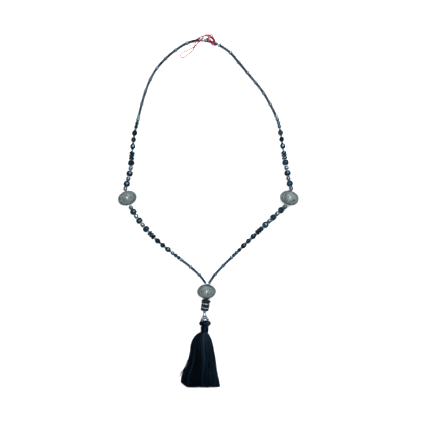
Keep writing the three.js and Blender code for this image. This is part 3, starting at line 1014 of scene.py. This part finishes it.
# ---- tassel ----
class Sections:
    """The tassel's outline from its CAD solid, rounded between the CAD's corners."""

    def __init__(self, node):
        points = corners(node)
        heights = np.unique(np.round(points[:, 1], 1))
        rows = [points[np.abs(points[:, 1] - y) < 0.06] for y in heights]
        edges = [[*row.min(axis=0)[[0, 2]], *row.max(axis=0)[[0, 2]]] for row in rows]
        self.y = heights
        self.edges = np.array(edges)
        steps = np.diff(self.edges, axis=0) / np.diff(heights)[:, None]
        before, after = steps[:-1], steps[1:]
        same_way = before * after > 0
        both = np.where(same_way, before + after, 1)
        between = np.where(same_way, 2 * before * after / both, 0)
        self.slopes = np.vstack([steps[:1], between, steps[-1:]])

    def at(self, y):
        """Left, right, lowest and highest at each height."""
        y = np.clip(y, self.y[0], self.y[-1])
        k = np.clip(np.searchsorted(self.y, y, side="right") - 1, 0, len(self.y) - 2)
        width = self.y[k + 1] - self.y[k]
        t = ((y - self.y[k]) / width)[..., None]
        blend_end = t * t * (3 - 2 * t)
        leave = t * (1 - t) ** 2 * width[..., None] * self.slopes[k]
        arrive = t * t * (t - 1) * width[..., None] * self.slopes[k + 1]
        found = self.edges[k] * (1 - blend_end) + self.edges[k + 1] * blend_end + leave + arrive
        left, low, right, high = np.moveaxis(found, -1, 0)
        return left, right, low, high


SILK = Sections("tassel_silk")
HEM_Y = -184.4
HEM_CORNERS = (-22.5, 12)  # x where the hem begins to rise towards the left and the right
WAIST_Y = -125.9
THREAD_SIZE = 0.27
SKIRT_LAYERS = [(0.99, 230), (0.94, 200), (0.86, 160), (0.72, 110), (0.5, 80), (0.28, 50)]  # depth, threads
CORE_ROWS = 24
CORE_SIDES = 28


def section_points(y, angle, depth, flat):
    """Places inside the tassel: angle goes round its section, and depth is 0 in the middle and 1 outside."""
    left, right, low, high = SILK.at(y)
    level = (1 + np.sin(angle)) / 2
    arch = np.maximum(np.sin(angle), 0) ** 0.8
    share = level + (arch - level) * flat
    half_width = (right - left) / 2 - THREAD_SIZE
    x = (left + right) / 2 + half_width * depth * np.cos(angle)
    middle = 0.5 + (0.35 - 0.5) * flat
    z = low + THREAD_SIZE + (high - low - 2 * THREAD_SIZE) * (middle + (share - middle) * depth)
    return np.stack([x, np.broadcast_to(y, x.shape), z], axis=-1)


def painted_sheen_tone(x, y):
    """How light a silk thread is painted there: painted sheen that grows towards the tassel's right side and along
    its right edge, and a painted highlight across its top, where the light falls on it.
    """
    left, right, _, _ = SILK.at(y)
    across = (x - left) / (right - left)
    high = np.clip((y + 165) / 40, 0, 1)
    painted_shine_band = np.exp(-(((across - 0.6) / 0.26) ** 2))
    edge = 0.3 * np.clip(across - 0.7, 0, 1)
    return 0.1 + 0.56 * np.clip(across - 0.4, 0, 1) + edge + 0.3 * high * painted_shine_band


def tassel_head():
    """Silk threads that come out of the cap, swell over the head and go into the neck."""
    shape = Shape()
    y = np.concatenate([np.linspace(-104.2, -112.4, 6), np.linspace(-112.9, -120, 26)])
    for angle in loop(96):
        lean = 0.35 * (y - y[0]) / (y[-1] - y[0])
        path = section_points(y, angle + lean, 0.97, 0)
        # each head thread's tone: painted sheen and highlight on the right side and top, plus random variation
        tones = np.clip(painted_sheen_tone(path[:, 0], path[:, 1]) + random.normal(0.06, 0.1), 0.05, 0.95)
        shape.add(tube(path, 0.34, 5, (0, 0, 1.01)), np.repeat(tones, 5))
    left, right, low, high = SILK.at(y)
    core = np.stack([(left + right) / 2, y, (low + high) / 2], axis=1)
    # painted shade: the core under the head's threads has the darkest tone
    shape.add(tube(core, np.maximum((high - low) / 2 - 0.7, 0.1), 12), 0.05)
    piece("tassel_head_silk", shape, "silk", "tassel_silk")


tassel_head()


def neck_wrap():
    low, high = (np.array(corner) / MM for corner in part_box("tassel_neck_wrap"))
    middle = (low + high) / 2
    thread = 0.3
    radius = (high[0] - low[0]) / 2 - thread
    turns = (high[1] - low[1] - 2 * thread) / (1.9 * thread)
    angle = np.linspace(0, turns * FULL, int(turns * 40))
    y = np.linspace(high[1] - thread, low[1] + thread, len(angle))
    path = np.stack([middle[0] + radius * np.cos(angle), y, middle[2] + radius * np.sin(angle)], axis=1)
    shape = Shape()
    across = (path[:, 0] - middle[0]) / radius
    # painted highlight: the wound thread is painted lighter in a vertical band a little right of the winding's
    # middle, where the light catches it
    tones = 0.1 + 0.55 * np.exp(-(((across - 0.15) / 0.28) ** 2))
    shape.add(tube(path, thread, 6, (0, 1, 0)), np.repeat(tones, 6))
    y = np.linspace(high[1], low[1], 8)
    core = np.stack([np.full(8, middle[0]), y, np.full(8, middle[2])], axis=1)
    shape.add(tube(core, radius, 24), 0.1)
    piece("tassel_neck_winding", shape, "silk", "tassel_neck_wrap")


neck_wrap()


def hem(x):
    """How far down a thread reaches that ends at x: both corners are cut away."""
    left, right = HEM_CORNERS
    return HEM_Y + np.clip(left - x, 0, None) * 0.75 + np.clip(x - right, 0, None) * 0.8


def skirt_thread(angle, depth, colour, shape):
    """One thread from the neck to the hem, which wanders a little and gathers into locks."""
    y = np.linspace(WAIST_Y + 0.8, -179.2, 22)
    fall = (y[0] - y) / (y[0] - y[-1])
    lock = 0.05 * np.sin(7 * angle + 1.3) + 0.04 * np.sin(19 * angle)
    drift = random.normal(0, 0.07)
    turn = angle + fall**1.5 * (lock + drift) + 0.02 * np.sin(FULL * (fall + random.uniform()))
    sink = depth * (1 - 0.04 * fall * random.uniform())
    path = section_points(y, turn, sink, np.clip(1.6 * fall, 0, 1))
    end = path[-1] + (path[-1] - path[-2]) * (path[-1, 1] - hem(path[-1, 0])) / (path[-2, 1] - path[-1, 1])
    end += (random.normal(0, 0.1), random.uniform(0, 1.1), 0)
    end[2] = max(end[2], THREAD_SIZE)
    between = (path[-1] + end) / 2
    if end[1] < path[-1, 1] - 0.2:
        path = np.vstack([path, between, end])
    path[:, 2] = np.maximum(path[:, 2], THREAD_SIZE)
    # each skirt thread's tone: painted sheen and highlight on the right side and top, plus the thread's own colour
    tones = np.clip(painted_sheen_tone(path[:, 0], path[:, 1]) + colour, 0.02, 0.95)
    shape.add(tube(path, THREAD_SIZE, 5), np.repeat(tones, 5))


def skirt():
    """Layers of threads from the outside in, each inner layer painted darker as painted shade, then a core with
    the darkest tone, painted shade that fills the gaps and that nothing shows through.
    """
    for number, (depth, count) in enumerate(SKIRT_LAYERS):
        shape = Shape()
        for angle in loop(count) + random.uniform(0, 0.1):
            # painted shade: each layer further in is given a darker mean tone
            colour = random.normal(0.02 - 0.05 * number, 0.15)
            skirt_thread(angle + random.normal(0, 0.015), depth - random.uniform(0, 0.04), colour, shape)
        piece(f"tassel_skirt_layer_{number + 1}", shape, "silk", "tassel_silk")
    shape = Shape()
    y = np.linspace(WAIST_Y + 0.5, -182, CORE_ROWS)
    angles = loop(CORE_SIDES)
    flat = np.clip((WAIST_Y - y) / 30, 0, 1)
    core = np.array([section_points(np.full(CORE_SIDES, row), angles, 0.8, low) for row, low in zip(y, flat)])
    first = np.arange(CORE_SIDES)
    ends = np.vstack([first[::-1], (CORE_ROWS - 1) * CORE_SIDES + first])
    # painted shade: the core has the darkest tone
    shape.add((core.reshape(-1, 3), [grid(CORE_ROWS, CORE_SIDES), ends]), 0.05)
    piece("tassel_skirt_core", shape, "silk", "tassel_silk")


skirt()

STRAYS = [
    [(-21.5, -155, 3), (-24.1, -162, 2), (-27.3, -166.6, 1.2), (-30.8, -170, 0.4)],
    [(-22.5, -158, 2), (-26.5, -167, 1.2), (-30.2, -172.2, 0.6), (-33, -175.4, 0.3)],
    [(-23, -160, 2.4), (-26.2, -167.5, 1.6), (-28.8, -171.6, 0.8), (-31.2, -173.8, 0.3)],
    [(-22, -156, 2.6), (-25.4, -164, 1.8), (-28.2, -168, 1), (-29.9, -170.4, 0.4)],
]


def stray_hairs():
    shape = Shape()
    for points in STRAYS:
        path = smooth(points, 0.8)
        shape.add(tube(path, np.linspace(0.34, 0.2, len(path)), 5), 0.4)
    piece("tassel_stray_threads", shape, "silk", "tassel_silk")


stray_hairs()


# ---- floor, light and air ----
def floor():
    look = Look("floor", Roughness=0.7)
    stops = [(0.3, (0.84, 0.845, 0.85)), (0.7, (0.86, 0.865, 0.87))]
    look.wire("Base Color", look.ramp(look.noise(0.002, 2.0), stops))
    look.bump(look.noise(0.4), 0.02, 0.2)
    mesh = bpy.data.meshes.new("floor")
    half = 3000
    points = np.array([(-half, -half, 0), (half, -half, 0), (half, half, 0), (-half, half, 0)]) * MM
    mesh.from_pydata(points, [], [(0, 1, 2, 3)])
    mesh.materials.append(look.material)
    made = bpy.data.objects.new("floor", mesh)
    made.visible_glossy = False
    bpy.context.scene.collection.objects.link(made)


def soft_box(name, place, size, power, mirrored):
    """A square light that faces the middle of the object. Glossy surfaces mirror it only if asked to."""
    data = bpy.data.lights.new(name, "AREA")
    data.size = size * MM
    data.energy = power
    made = bpy.data.objects.new(name, data)
    made.location = np.array(place) * MM
    made.rotation_euler = made.location.to_track_quat("Z", "Y").to_euler()
    made.visible_glossy = mirrored
    bpy.context.scene.collection.objects.link(made)


def studio():
    world = bpy.data.worlds.new("air")
    world.use_nodes = True
    world.node_tree.nodes["Background"].inputs["Color"].default_value = (0.88, 0.95, 1, 1)
    world.node_tree.nodes["Background"].inputs["Strength"].default_value = 0.12
    bpy.context.scene.world = world
    soft_box("key", (220, 380, 930), 560, 10, True)
    soft_box("fill_left", (-700, -200, 800), 900, 18, False)
    soft_box("fill_right", (700, 200, 800), 900, 14, False)
    bpy.context.scene.view_settings.view_transform = "Standard"


floor()
studio()
